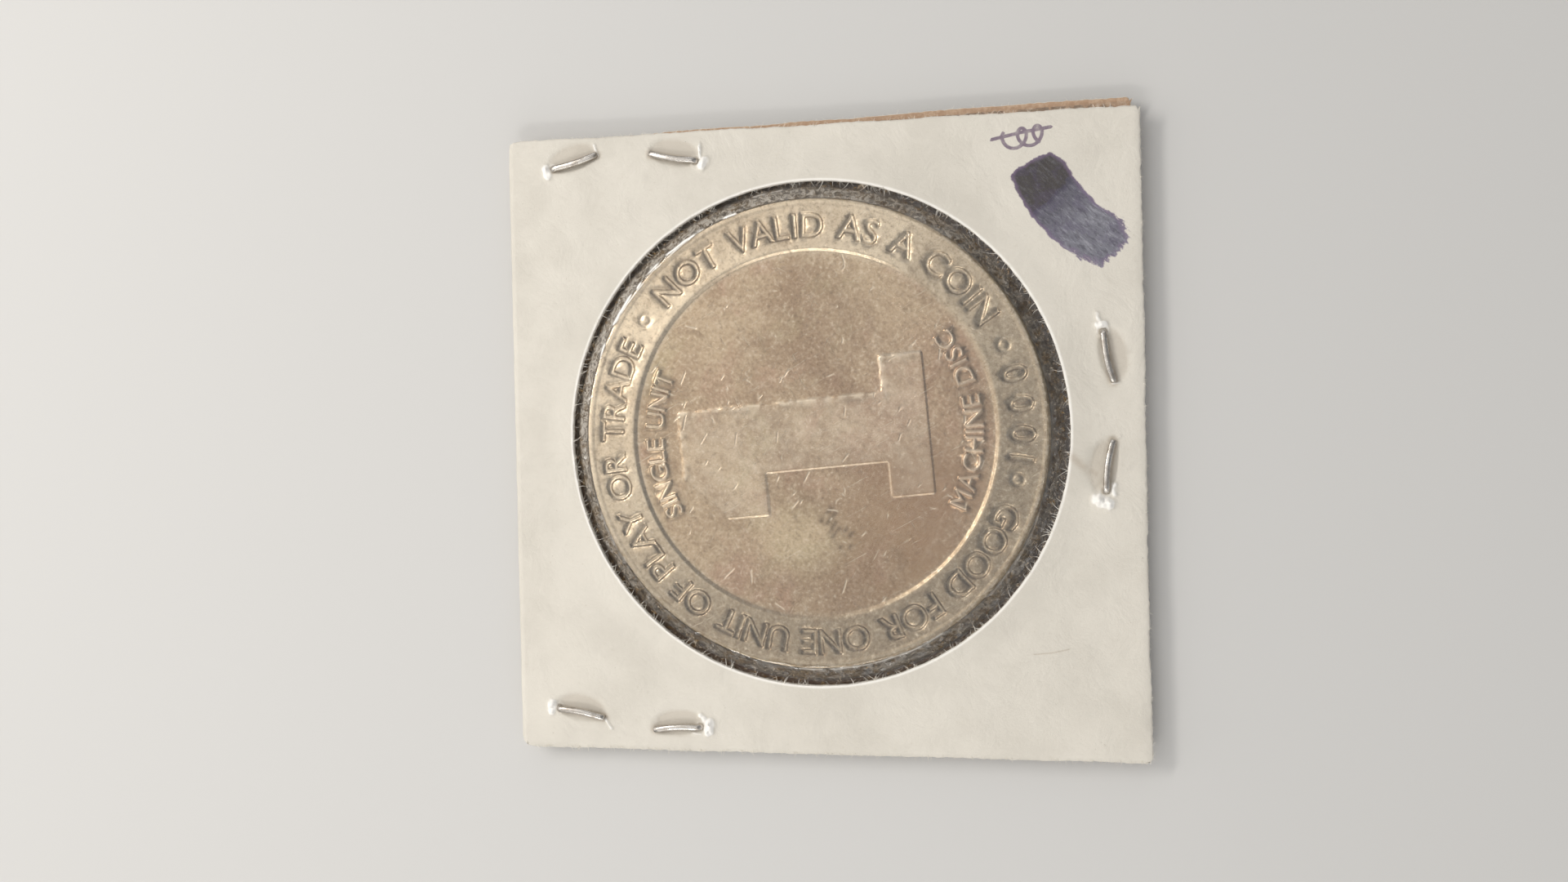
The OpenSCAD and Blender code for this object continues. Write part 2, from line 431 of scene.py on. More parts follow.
def card_material(name, marked=False):
    """Matte off-white paper board: fibre grain, faint grey smudges, brown inside, pale on its cut edges."""
    f = Finish(name)
    cloud = f.noise(0.16, 4, 0.6)
    fibre = f.noise(2.2, 6, 0.72, distortion=0.6)
    smudge = f.noise(0.5, 5, 0.6, f.turn_stretch(25, (1, 0.35, 1)))
    speck = f.noise(5.5, 2, 0.5)
    ply = f.noise(6.0, 4, 0.7, f.turn_stretch(0, (0.25, 0.25, 3.5)))
    paper = f.mix(f.span(cloud, 0.35, 0.7), (221, 215, 203), (212, 206, 194))
    paper = f.mix(f.span(fibre, 0.56, 0.8, 0, 0.35), paper, (196, 187, 170))
    paper = f.mix(f.span(smudge, 0.62, 0.8, 0, 0.3), paper, (184, 178, 168))
    paper = f.mix(f.span(speck, 0.73, 0.8, 0, 0.5), paper, (170, 160, 145))
    paper = f.mix(f.span(f.radius(), WINDOW_R + 0.3, WINDOW_R + 0.1, 0, 0.9), paper, (250, 246, 238))
    core = f.mix(f.span(ply, 0.35, 0.65), (226, 214, 196), (252, 249, 242))
    paper = f.mix(f.span(f.mark("cut"), 0.35, 0.9, 0, 0.85), paper, core)
    kraft = f.mix(f.span(fibre, 0.4, 0.7), (180, 148, 121), (204, 177, 150))
    paper = f.mix(f.span(f.mark("inside"), 0.4, 0.6), paper, kraft)
    roughness = f.span(cloud, 0.3, 0.7, 0.52, 0.66)
    normal = f.bump(f.noise(3.2, 8, 0.75, distortion=0.4), 0.035)
    normal = f.bump(f.noise(0.3, 5, 0.6, distortion=0.8), 0.14, normal)
    if marked:
        paper, roughness = with_ink(f, paper, roughness)
        # soil round the staples, the scratch and the smudge, with painted shade in the staples' dents
        paper = f.mix(f.span(f.mark("soil"), 0.05, 1.0, 0, 0.5), paper, (160, 140, 116))
        paper = f.mix(f.span(f.mark("torn"), 0.12, 0.55, 0, 0.95), paper, (252, 249, 243))
    paper = f.mix(f.mark("fibre"), paper, (246, 240, 228))
    f.set(Base_Color=paper, Roughness=roughness, Normal=normal, Specular_IOR_Level=0.35,
          Sheen_Weight=0.08)
    return f.material


FAR = 3.0                          # the marks for ink and pen start from 0 at this distance


def with_ink(f, paper, roughness):
    """The marker swipe and the pen squiggle, which the front panel's marks place."""
    stroke = f.turn_stretch(44, (0.45, 1.5, 1))
    grain = f.noise(3.4, 6, 0.75)
    bristle = f.noise(2.2, 6, 0.8, stroke)
    streak = f.noise(2.6, 7, 0.85, stroke)
    wet = f.mark("ink_load")
    soaked = f.plus(wet, f.times(grain, 0.35))
    wander = f.times(f.minus(f.noise(1.1, 5, 0.7), 0.5), 0.45)
    fray = f.times(f.minus(bristle, 0.5), f.span(wet, 0.0, 0.16, 1.8, 0.3))
    depth = f.plus(f.minus(f.mark("ink"), FAR), f.plus(wander, fray))
    covered = f.span(depth, -0.05, 0.07)
    dark = f.mix(f.span(wet, 0.1, 0.8), (116, 116, 126), (66, 63, 78))
    dark = f.mix(f.span(soaked, 1.0, 1.08), dark, (60, 55, 54))
    dark = f.mix(f.span(f.noise(0.8, 4, 0.7), 0.46, 0.6, 0, 0.3), dark, (84, 72, 104))
    flecks = f.times(f.span(bristle, 0.48, 0.66), f.span(wet, 0.1, 0.9, 0.75, 0.2))
    dark = f.mix(flecks, dark, (158, 158, 166))
    dark = f.mix(f.span(streak, 0.52, 0.4, 0, 0.55), dark, (50, 46, 60))
    dark = f.mix(f.span(depth, 0.4, 0.05, 0, 0.6), dark, (124, 104, 134))
    paper = f.mix(f.times(covered, 0.97), paper, dark)
    pen = f.plus(f.minus(FAR, f.mark("pen")), f.times(f.minus(grain, 0.5), 0.08))
    drawn = f.times(f.span(pen, 0.17, 0.1), f.span(f.noise(1.6, 3), 0.25, 0.6, 0.6, 0.95))
    paper = f.mix(drawn, paper, (122, 106, 122))
    dull = f.node("ShaderNodeMix", {"Factor": covered, 2: roughness, 3: 0.42}, data_type="FLOAT")
    return paper, dull.outputs[0]


# Hairline scratches in the token's metal: slant in degrees, noise scale, threshold, depth in millimetres.
HAIRLINES = [(28, 2.2, 0.66, 0.010), (62, 2.8, 0.67, 0.012), (118, 2.0, 0.68, 0.010), (150, 3.2, 0.69, 0.008)]


def token_material():
    """Worn nickel alloy: tan and pink toning in the field, a painted sheen along its brushed grain and on a
    light patch below its middle, a greyer band with painted shade towards its lower right, painted shade just
    inside the numeral's edges, fine scratches and nicks.
    """
    f = Finish("token_metal")
    radius = f.radius()
    cloud = f.noise(0.13, 6, 0.6, f.turn_stretch(-60, (1, 0.6, 1)), 0.7)
    patch = f.noise(0.22, 5, 0.62, f.turn_stretch(30, (1, 0.7, 1), (4, 9, 0)), 0.4)
    brushed_grain_sheen = f.noise(1.1, 7, 0.75, f.turn_stretch(-65, (0.35, 1.7, 1)))
    grain = f.noise(3.4, 8, 0.85)
    mottle = f.noise(1.5, 7, 0.85, f.turn_stretch(50, (0.8, 1.2, 1), (7, 3, 0)))
    stain = f.noise(0.45, 6, 0.75, f.turn_stretch(20, (1, 0.8, 1), (2, 5, 0)), 0.6)

    field = f.mix(f.span(cloud, 0.36, 0.64), (151, 125, 98), (182, 159, 130))
    field = f.mix(f.span(patch, 0.52, 0.66, 0, 0.55), field, (172, 138, 115))
    field = f.mix(f.span(patch, 0.44, 0.3, 0, 0.5), field, (168, 152, 118))
    brown = f.times(f.span(f.distance(8.5, -7.5), 9.5, 3.0), f.span(f.noise(0.3, 5, 0.6), 0.3, 0.55))
    field = f.mix(f.times(brown, 0.75), field, (146, 116, 84))
    # darker towards the right side of the field
    field = f.mix(f.span(f.distance(14, 0), 16, 5, 0, 0.45), field, (160, 128, 102))
    # painted sheen: a light khaki patch below the middle of the field
    field = f.mix(f.span(f.distance(-1.5, -8.3, (0.7, 1, 1)), 5.0, 0.5, 0, 0.9), field, (208, 192, 156))
    belt = f.mix(f.span(cloud, 0.38, 0.66), (193, 174, 148), (225, 207, 180))
    # painted shade: the band darkens away from its upper left, most towards the lower right
    belt = f.mix(f.times(f.span(f.distance(-11, 14), 9, 33), 0.86), belt, (142, 126, 104))
    metal = f.mix(f.span(radius, 13.9, 14.7), field, belt)

    smoothed = f.times(f.times(brown, f.span(radius, 14.6, 14.0)), 0.6)
    calm = f.minus(1.0, smoothed)
    # lighter streaks along the brushed grain: partly the metal's own grain, partly a painted sheen
    metal = f.mix(f.times(f.span(brushed_grain_sheen, 0.5, 0.72, 0, 0.3), calm), metal, (206, 188, 162))
    mottle = f.plus(f.times(mottle, calm), f.times(f.minus(1.0, calm), 0.51))
    metal = f.mix(f.span(mottle, 0.5, 0.36, 0, 0.36), metal, (110, 86, 66))
    metal = f.mix(f.span(mottle, 0.52, 0.66, 0, 0.36), metal, (220, 204, 182))
    metal = f.mix(f.times(f.span(grain, 0.49, 0.36, 0, 0.55), calm), metal, (100, 80, 58))
    metal = f.mix(f.times(f.span(grain, 0.53, 0.65, 0, 0.6), calm), metal, (226, 212, 190))
    metal = f.mix(f.span(stain, 0.56, 0.7, 0, 0.4), metal, (116, 92, 66))
    # grime in the letters' hollows and in the bruise, and painted shade just inside the numeral's ragged
    # edges
    metal = f.mix(f.times(f.mark("grime"), 0.6, clamp=True), metal, (88, 70, 50))
    metal = f.mix(f.times(f.mark("worn"), 0.6), metal, (236, 222, 200))

    uneven = f.plus(f.times(grain, 0.5), f.times(cloud, 0.5))
    normal = f.bump(f.noise(2.4, 5, 0.7), 0.007)
    normal = f.bump(brushed_grain_sheen, 0.008, normal)
    for angle, scale, low, depth in HAIRLINES:
        lines = f.noise(scale, 3, 0.6, f.turn_stretch(-angle, (0.14, 3.6, 1), (angle, scale * 9, 0)))
        cut = f.span(lines, low, low + 0.04)
        normal = f.bump(f.times(cut, -1.0), depth, normal)
        metal = f.mix(f.times(cut, 0.4), metal, (226, 212, 190))
    f.set(Base_Color=metal, Metallic=1.0, Roughness=f.span(uneven, 0.36, 0.64, 0.46, 0.27), Normal=normal)
    return f.material


def film_material(name):
    """Thin clear polyester: what is behind shows, with a sharp gloss, rubbed marks, painted white glint lines
    and a painted sheen round the token.
    """
    f = Finish(name)
    facing = f.node("ShaderNodeLayerWeight", {"Blend": 0.5}).outputs["Facing"]
    grazing = f.times(f.math("POWER", facing, 5), 0.9)
    radius = f.radius()
    in_ring = f.times(f.span(radius, TOKEN_R - 0.1, TOKEN_R + 0.35), f.span(radius, WINDOW_R + 0.3, WINDOW_R))
    rubbed = f.span(f.noise(0.9, 6, 0.7), 0.5, 0.85, 0.035, 0.06)
    crackle = f.span(f.noise(1.5, 7, 0.8, distortion=1.5), 0.54, 0.62, 0, 0.14)
    gloss = f.plus(grazing, f.plus(rubbed, f.times(in_ring, crackle)), clamp=True)
    f.set(Base_Color=(0.95, 0.95, 0.94, 1), Roughness=0.08, Metallic=1.0,
          Normal=f.bump(f.noise(0.5, 2, 0.5), 0.02))
    # painted shade: the film is darker where it spans the gap round the token
    ring_shade_tint = f.mix(in_ring, (253.3, 253.3, 252.7), (234.9, 233.7, 233.7))
    clear = f.node("ShaderNodeBsdfTransparent", {"Color": ring_shade_tint})
    blend = f.node("ShaderNodeMixShader", {0: gloss, 1: clear.outputs[0], 2: f.shader.outputs[0]})

    lint = f.span(f.noise(2.0, 5, 0.75, distortion=1.6), 0.55, 0.64, 0, 0.5)
    streak = f.span(f.noise(1.6, 6, 0.8, distortion=1.2), 0.4, 0.6, 0.15, 1.0)
    # painted sheen on the film's flank round the token, streaked
    haze = f.times(f.mark("haze"), streak)
    pale = f.mix(f.span(f.noise(1.2, 2), 0.45, 0.6), (206, 192, 172), (170, 136, 84))
    pale = f.mix(f.times(haze, 1.6, clamp=True), pale, (204, 196, 184))
    # painted glint: white lines along the token's rim
    pale = f.mix(f.mark("crease"), pale, (255, 252, 246))
    matte = f.node("ShaderNodeBsdfDiffuse", {"Color": pale})
    # the matte layer shows lint in the gap ring, the painted glint lines and the painted sheen
    lint_and_painted_light = f.math("MAXIMUM", f.times(in_ring, lint), f.times(f.mark("crease"), 0.95))
    lint_and_painted_light = f.math("MAXIMUM", lint_and_painted_light, haze)
    blend = f.node("ShaderNodeMixShader", {0: lint_and_painted_light, 1: blend.outputs[0], 2: matte.outputs[0]})
    f.tree.links.new(blend.outputs[0], f.output.inputs["Surface"])
    return f.material


def wire_material():
    """Bright drawn steel, finely grained, with a dull grey bloom."""
    f = Finish("staple_wire")
    bloom = f.noise(1.4, 4, 0.6)
    steel = f.mix(f.span(bloom, 0.4, 0.7), (202, 197, 190), (166, 158, 148))
    f.set(Base_Color=steel, Metallic=1.0, Roughness=f.span(bloom, 0.3, 0.7, 0.22, 0.4),
          Normal=f.bump(f.noise(7.0, 4, 0.6), 0.01))
    return f.material


# ---- token ----
RIM_W = 0.45
BAND_DROP = 0.06                   # how far the band lies below the rim
FIELD_R = 14.5
FIELD_DROP = 0.14                  # how far the field lies below the band
BEVEL = 0.16                       # radius of the rounding between face and edge
FACE_R = TOKEN_R - BEVEL
NUMERAL_RISE = 0.07
NUMERAL_TURN = math.radians(4.5)
REEDS, REED_DEPTH = 144, 0.07
RING_POINTS = 4 * REEDS            # four points for each reed


def numeral_outline():
    """Outline of the block numeral, its tip towards -X, before it is turned."""
    tip, foot = -10.75, 9.25
    half, wing, sole = 2.75, 5.55, 3.4
    flag_x0, flag_x1, flag_y = -7.4, -4.0, -6.1
    return [(tip, half), (foot - sole, half), (foot - sole, wing), (foot, wing), (foot, -wing),
            (foot - sole, -wing), (foot - sole, -half), (flag_x1, -half), (flag_x1, flag_y),
            (flag_x0, flag_y), (tip, -half)]


# For each edge of the outline: the width of its ramp, how rubbed it is, and how ragged.
NUMERAL_EDGES = np.array([
    (0.3, 1.0, 1), (0.22, 1.0, 1), (0.3, 1.0, 1), (0.12, 0.0, 0), (0.2, 0.7, 0), (0.22, 0.6, 0),
    (0.2, 0.7, 0), (0.5, 0.2, 0), (0.2, 0.7, 0), (0.8, 0.1, 0), (0.32, 0.8, 1)])


def numeral_edges(points):
    """How deep each point lies inside the numeral, and the nearest edge's width, rub and raggedness."""
    local, edges = turned(points, -NUMERAL_TURN), chain(numeral_outline(), closed=True)
    nearest = np.argmin([to_segments(local, edge[None]) for edge in edges], axis=0)
    return depth_inside(local, edges), *NUMERAL_EDGES[nearest].T


def glyph_outline(character):
    """Outline segments of one capital or digit, in the font's own units."""
    text = bpy.data.curves.new("glyph", "FONT")
    text.body = character
    text.fill_mode = "NONE"
    text.resolution_u = 5
    holder = bpy.data.objects.new("glyph", text)
    mesh = holder.to_mesh()
    points = np.array([v.co[:2] for v in mesh.vertices])
    segments = points[np.array([e.vertices[:] for e in mesh.edges])]
    holder.to_mesh_clear()
    bpy.data.objects.remove(holder)
    bpy.data.curves.remove(text)
    return segments


# Letters with open sides stand closer to their neighbours: the share of their width that they take.
TUCKED = {"A": 0.82, "V": 0.84, "T": 0.9, "Y": 0.86, "L": 0.92, "C": 0.93}
SPACE = 0.34                       # width of a space between words, for letters one unit high


class Legend:
    """Letters set round an arc: their outline segments in place, each with its middle and height.

    bolder says by how many millimetres the letters grow beyond their outlines."""

    def __init__(self, bolder):
        self.bolder = bolder
        self.letters = []

    def word_on_arc(self, text, start, end, radius, height, inward=False):
        """Sets text from the start angle to the end angle, in degrees, tops outward unless inward."""
        glyphs = [None if letter == " " else glyph_outline(letter) for letter in text]
        cap = np.ptp(glyph_outline("H")[:, :, 1])
        widths = [SPACE * height if glyph is None else np.ptp(glyph[:, :, 0]) / cap * height
                  for glyph in glyphs]
        widths = [width * TUCKED.get(letter, 1.0) for width, letter in zip(widths, text)]
        length = abs(math.radians(end - start)) * radius
        gap = (length - sum(widths)) / max(1, len(text) - 1)
        travelled = 0.0
        sign = 1 if end > start else -1
        for glyph, width in zip(glyphs, widths):
            if glyph is not None:
                angle = math.radians(start) + sign * (travelled + width / 2) / radius
                centred = glyph / cap * height
                centred = centred - (centred[:, :, 0].min() + np.ptp(centred[:, :, 0]) / 2, height / 2)
                upright = angle + math.pi / 2 if inward else angle - math.pi / 2
                middle = np.array([math.cos(angle), math.sin(angle)]) * radius
                self.letters.append((turned(centred.reshape(-1, 2), upright).reshape(-1, 2, 2) + middle,
                                     middle, height))
            travelled += width + gap

    def depth(self, points):
        """How deep each point lies inside the nearest letter, made bolder, and negative outside."""
        found = np.full(len(points), -1.0)
        for segments, middle, height in self.letters:
            near = np.hypot(*(points - middle).T) < height * 0.95
            found[near] = np.maximum(found[near], depth_inside(points[near], segments) + self.bolder)
        return found

    def cloud(self, spacing, offsets):
        """Points along the outlines and round their corners."""
        segments = np.concatenate([s for s, _, _ in self.letters])
        straight = segments[np.hypot(*(segments[:, 1] - segments[:, 0]).T) > 0.2]
        corners = [straight.reshape(-1, 2) + spoke for size in (0.09, 0.18) for spoke in ring(size, 8)]
        return np.concatenate([along_segments(segments, spacing, offsets), *corners])


def set_legends():
    """The incuse legend on the band and the raised one inside the field."""
    outer, inner = Legend(0.12), Legend(0.07)
    outer.word_on_arc("GOOD FOR ONE UNIT OF PLAY OR TRADE", 339, 152, LEGEND_R, LEGEND_H)
    outer.word_on_arc("NOT VALID AS A COIN", 137.9, 31.2, LEGEND_R, LEGEND_H)
    outer.word_on_arc("0001", 17.2, -8.2, LEGEND_R, LEGEND_H)
    inner.word_on_arc("SINGLE UNIT", 209.5, 156.6, 12.85, 1.45)
    inner.word_on_arc("MACHINE DISC", -27.3, 36.0, 12.75, 1.4, inward=True)
    return outer, inner


# The small circles that part the legend's words: their places, outer and inner radius.
STOPS = [(LEGEND_R * math.cos(a), LEGEND_R * math.sin(a)) for a in np.radians((144.9, 23.3, -13.4))]
STOP_R, STOP_BORE = 0.55, 0.3


def scratches():
    """Nicks and scratches over the face, most of them slanting one way."""
    draws = np.random.default_rng(19)
    marks = []
    for _ in range(80):
        reach, around = FIELD_R * math.sqrt(draws.random()), draws.uniform(0, 2 * math.pi)
        slant = math.radians(draws.normal(62, 16) if draws.random() < 0.72 else draws.uniform(0, 180))
        half = np.array([math.cos(slant), math.sin(slant)]) * (0.08 + 0.6 * draws.random() ** 3)
        middle = np.array([math.cos(around), math.sin(around)]) * reach
        marks.append((middle - half, middle + half))
    return np.array(marks)


def bruise(points):
    """A dark bronze bruise below the middle, made of short strokes side by side."""
    draws = np.random.default_rng(23)
    strokes = []
    for row in range(7):
        start = np.array([0.6 + 0.3 * row, -6.9 - 0.42 * row])
        strokes.append((start, start + (0.8 + 0.9 * draws.random()) * np.array([0.62, 0.78])))
    return 1.2 * hump(to_segments(points, np.array(strokes)), 0.2) * smooth(0.8 + noise(*points.T, 0.5, 18))


def face_height(points, outer, inner):
    """Height of the token's face above the top of its rim."""
    x, y = points.T
    radius = np.hypot(x, y)
    rim_in = TOKEN_R - RIM_W
    height = -BAND_DROP * (1 - smooth((radius - rim_in + 0.16) / 0.2))
    height -= FIELD_DROP * (1 - smooth((radius - FIELD_R + 0.22) / 0.4))
    height += 0.02 * hump(radius - FIELD_R - 0.3, 0.22)
    cut = outer.depth(points) + 0.03 * noise(x, y, 0.3, 10)
    height -= 0.15 * smooth((cut + 0.04) / 0.24)
    height += 0.035 * hump(cut + 0.14, 0.1)
    height += 0.13 * smooth((inner.depth(points) + 0.06) / 0.17)
    for stop in STOPS:
        away = np.hypot(*(points - stop).T)
        height -= 0.09 * hump(away - (STOP_R + STOP_BORE) / 2, 0.14)
    raised, width, _, ragged = numeral_edges(points)
    height += NUMERAL_RISE * smooth((raised + 0.06 * noise(x, y, 0.4, 7) * ragged) / width + 0.5)
    height += 0.022 * noise(x, y, 0.42, 8) * hump(raised - 0.2, 0.35) * ragged
    scratched = to_segments(points, scratches())
    height -= 0.016 * hump(scratched, 0.05) - 0.007 * hump(scratched - 0.1, 0.05)
    worn = 0.006 * noise(x, y, 2.1, 5) + 0.003 * noise(x, y, 0.7, 6)
    return height + worn * (radius < TOKEN_R - 0.2)


def rubbed_edges(points):
    """Bright mottled wear along the numeral's edges and the top of the rim."""
    x, y = points.T
    raised, _, rubbed, ragged = numeral_edges(points)
    mottle = smooth(1 - 0.5 * ragged + 0.9 * noise(x, y, 0.33, 12))
    rim = 0.34 * hump(np.hypot(x, y) - TOKEN_R + 0.25, 0.12) * smooth(0.5 + noise(x, y, 1.7, 14))
    patches = smooth(0.4 + 0.5 * noise(x, y, 0.9, 15) + 0.6 * noise(x, y, 0.35, 16))
    face = smooth(raised / 0.3) * (0.17 + 0.27 * patches)
    edge = rubbed * hump(raised - 0.12 * ragged, 0.07 + 0.1 * ragged) * mottle
    return np.maximum(np.maximum(edge, face), rim)


def face_points(outer, inner):
    """Points of a face, dense along the letters, the numeral, the rim and the steps."""
    cloud = [ring(FACE_R - step, count) for step, count in
             ((0.09, 400), (0.18, 400), (0.27, 400), (0.38, 400), (0.5, 360))]
    cloud += [ring(FIELD_R + step, 340) for step in (-0.24, -0.17, -0.08, 0.0, 0.08, 0.17, 0.3, 0.45)]
    numeral = along_segments(chain(turned(numeral_outline(), NUMERAL_TURN), closed=True), 0.2,
                             (0.03, 0.06, 0.1, 0.2))
    stops = [ring(radius, 22, stop) for stop in STOPS for radius in (0.2, 0.32, 0.43, 0.54, 0.68)]
    letters = np.concatenate([outer.cloud(0.13, (0.0, 0.07, 0.14)), inner.cloud(0.13, (0.02, 0.1))])
    cloud += [numeral, *stops, letters, along_segments(scratches(), 0.16, (0.0, 0.05, 0.1, 0.16))]
    fine = thinned(np.concatenate(cloud), 0.045)
    coarse = grid((-TOKEN_R, -TOKEN_R), (TOKEN_R, TOKEN_R), 0.42)
    bruised = grid((0.3, -10.0), (4.2, -5.6), 0.16, seed=4)
    coarse = np.concatenate([coarse, bruised])
    points = np.concatenate([fine, coarse[far_from(coarse, fine, 0.2)]])
    return points[np.hypot(*points.T) < FACE_R - 0.05]


def far_from(points, others, cell):
    """Which points have none of the others in their own square cell."""
    def keys(array):
        i, j = np.round(array / cell).astype(int).T
        return i * 100003 + j
    return ~np.isin(keys(points), keys(others))


def make_token(material):
    """The token: both faces alike, with a rounded bevel and a reeded edge between them."""
    outer, inner = set_legends()
    border = ring(FACE_R, RING_POINTS)
    flat, faces, (edge,) = triangulated([border], face_points(outer, inner))
    height = TOKEN_HALF + face_height(flat, outer, inner)
    worn = np.maximum(hump(to_segments(flat, scratches()), 0.06), rubbed_edges(flat))
    grime = hump(outer.depth(flat) - 0.05, 0.09) * smooth(0.6 + 0.8 * noise(*flat.T, 1.5, 17))
    raised = inner.depth(flat)
    grime = np.maximum(np.maximum(grime, bruise(flat)), 0.7 * hump(raised + 0.12, 0.1))
    inside, _, _, ragged = numeral_edges(flat)
    # painted shade: a dark ragged band just inside the numeral's ragged edges
    shaded = ragged * hump(inside - 0.42, 0.15) * smooth(0.55 + 0.8 * noise(*flat.T, 0.45, 25))
    grime = np.maximum(grime, 0.8 * shaded)
    worn = np.maximum(worn, 0.47 * smooth(raised / 0.1))
    solid = Solid()
    front = solid.add(np.column_stack([flat, height]), worn=worn, grime=grime)
    back = solid.add(np.column_stack([flat[:, 0], -flat[:, 1], -height]), worn=worn, grime=grime)
    solid.faces += front[faces].tolist() + back[faces].tolist()
    angle = np.arange(RING_POINTS) * 2 * math.pi / RING_POINTS
    reed = REED_DEPTH * (0.5 - 0.5 * np.cos(REEDS * angle))
    worn = 1 + 0.25 * noise(angle * TOKEN_R, angle * 0, 1.3, 9)
    rows = []
    for turn in np.radians((30, 60, 90)):
        rows.append((FACE_R + BEVEL * math.sin(turn), TOKEN_HALF - BEVEL * (1 - math.cos(turn)), turn > 1.5))
    rows += [(r, -z, reeded) for r, z, reeded in reversed(rows)]
    previous = front[edge]
    for radius, z, reeded in rows:
        reach = radius - reed * worn * reeded
        level = np.full(RING_POINTS, z)
        row = solid.add(np.column_stack([reach * np.cos(angle), reach * np.sin(angle), level]))
        solid.faces += strip(row, previous)
        previous = row
    solid.faces += strip(back[edge][-np.arange(RING_POINTS)], previous)
    token = solid.piece("metal_token", material)
    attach(token, "token")
    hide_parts("token")


# ---- card ----
class Leg:
    """Where one staple leg comes through the card and where its clinched tip lies."""

    def __init__(self, place, side):
        x, y, turn, swing_left, swing_right = place
        swing = -swing_right if side > 0 else swing_left
        turn = math.radians(turn)
        middle = turned([(side * STAPLE_SPAN / 2, 0)], turn)[0]
        self.entry = np.array([x, y]) + middle
        self.along = turned([(-side, 0)], turn + math.radians(swing))[0]
        self.across = np.array([-self.along[1], self.along[0]])
        self.tip = self.entry + self.along * LEG_REACH
        self.crown_along = turned([(-side, 0)], turn)[0]

    def seen_from(self, x, y):
        """Coordinates along the clinched leg and across it, from where it comes through."""
        offset = np.stack([x, y], axis=-1) - self.entry
        return offset @ self.along, offset @ self.across


LEGS = [Leg(place, side) for place in STAPLES.values() for side in (-1, 1)]


def lift(radius):
    """Height that a panel gains towards its window."""
    share = np.clip((radius - RAMP_R0) / (RAMP_R1 - RAMP_R0), 0, 1)
    return PANEL_LIFT * (1 + np.cos(math.pi * share)) / 2


def settled(x):
    """How loose the card is: 0 at the fold, where it meets the spine, and 1 away from it."""
    return smooth((x - FOLD_X) / 1.5)


# For each leg, the ridges of torn paper: start and end beside it, width and height. The first
# number of a point runs along the leg from its hole, the second across it.
TEARS = [
    [((-0.55, -0.35), (-0.5, 0.3), 0.28, 0.38), ((4.0, -0.05), (3.95, 0.8), 0.13, 0.16)],
    [((-0.5, 0.35), (-0.7, -0.15), 0.28, 0.36), ((-0.25, -0.3), (-0.05, -1.25), 0.15, 0.2),
     ((4.15, -0.3), (4.2, 0.2), 0.2, 0.08)],
    [((-0.45, 0.2), (-0.5, -0.25), 0.24, 0.34), ((-0.6, -0.1), (-1.35, -0.2), 0.2, 0.14),
     ((4.05, -0.15), (4.1, 0.4), 0.12, 0.14)],
    [((-0.7, 0.5), (-0.85, -0.3), 0.38, 0.5), ((-0.1, -0.6), (0.6, -0.5), 0.22, 0.22),
     ((3.95, -0.1), (4.3, -0.45), 0.11, 0.12)],
    [((-0.6, 0.4), (-0.75, -0.25), 0.34, 0.44), ((-0.35, -0.6), (-0.05, -0.9), 0.22, 0.26),
     ((0.1, 0.55), (0.8, 0.45), 0.14, 0.14)],
    [((-0.6, 0.3), (-0.6, -0.3), 0.33, 0.42), ((4.05, -0.1), (4.7, -0.75), 0.14, 0.13)],
]


def torn_paper(u, v, number):
    """How high paper is pushed up and torn round a leg."""
    points = np.stack([np.ravel(u), np.ravel(v)], axis=1)
    torn = 0.1 * hump(np.hypot(points[:, 0], points[:, 1]) - 0.42, 0.14)
    for start, end, width, height in TEARS[number]:
        torn = np.maximum(torn, height * hump(to_segments(points, chain([start, end])), width))
    ragged = 0.85 + 0.45 * noise(points[:, 0], points[:, 1], 0.22, 50 + number)
    return (torn * ragged).reshape(np.shape(u))


def anvil_dent(leg, x, y):
    """The shallow oval that the stapler's anvil pressed beside a leg, 1 in its middle."""
    u, v = leg.seen_from(x, y)
    up = 1 if leg.across[1] > 0 else -1
    oval = np.hypot((u - 1.9) / 2.2, (v * up - 0.45) / 1.15)
    return 1 - smooth((oval - 0.75) / 0.35)


def front_relief(x, y):
    """What the front panel's outer face has above its plain form: buckles, dents, torn and rolled rims."""
    relief = 0.035 * noise(x, y, 9, 21) + 0.012 * noise(x, y, 2.2, 22)
    relief -= 0.2 * smooth((FRONT_LOW[1] + 0.5 - y) / 0.5) ** 1.5
    relief -= 0.08 * smooth((x - FRONT_HIGH[0] + 0.35) / 0.35)
    for number, leg in enumerate(LEGS):
        u, v = leg.seen_from(x, y)
        beside = np.hypot(u - np.clip(u, 0.3, LEG_REACH), v)
        relief -= 0.08 * hump(beside, 0.42) + 0.12 * anvil_dent(leg, x, y)
        relief += 0.05 * hump(np.hypot(u, v), 2.2) + torn_paper(u, v, number)
    return relief * settled(x)


def back_relief(x, y):
    """The same for the back panel, where each crown is pressed in between its two holes."""
    relief = 0.035 * noise(x, y, 10, 31) + 0.012 * noise(x, y, 2.4, 32)
    for left, right in zip(LEGS[::2], LEGS[1::2]):
        points = np.stack([np.ravel(x), np.ravel(y)], axis=1)
        beside = to_segments(points, chain([left.entry, right.entry])).reshape(np.shape(x))
        relief -= 0.09 * hump(beside, 0.4)
        relief += 0.04 * hump(beside - 0.8, 0.4)
    return relief * settled(x)


FOLD_PULL = 0.22                   # how far the fold's bottom end is rounded away; the top one by 0.4 of it
EDGE_SWELL = 0.09                  # how far the middle of a cut edge swells out


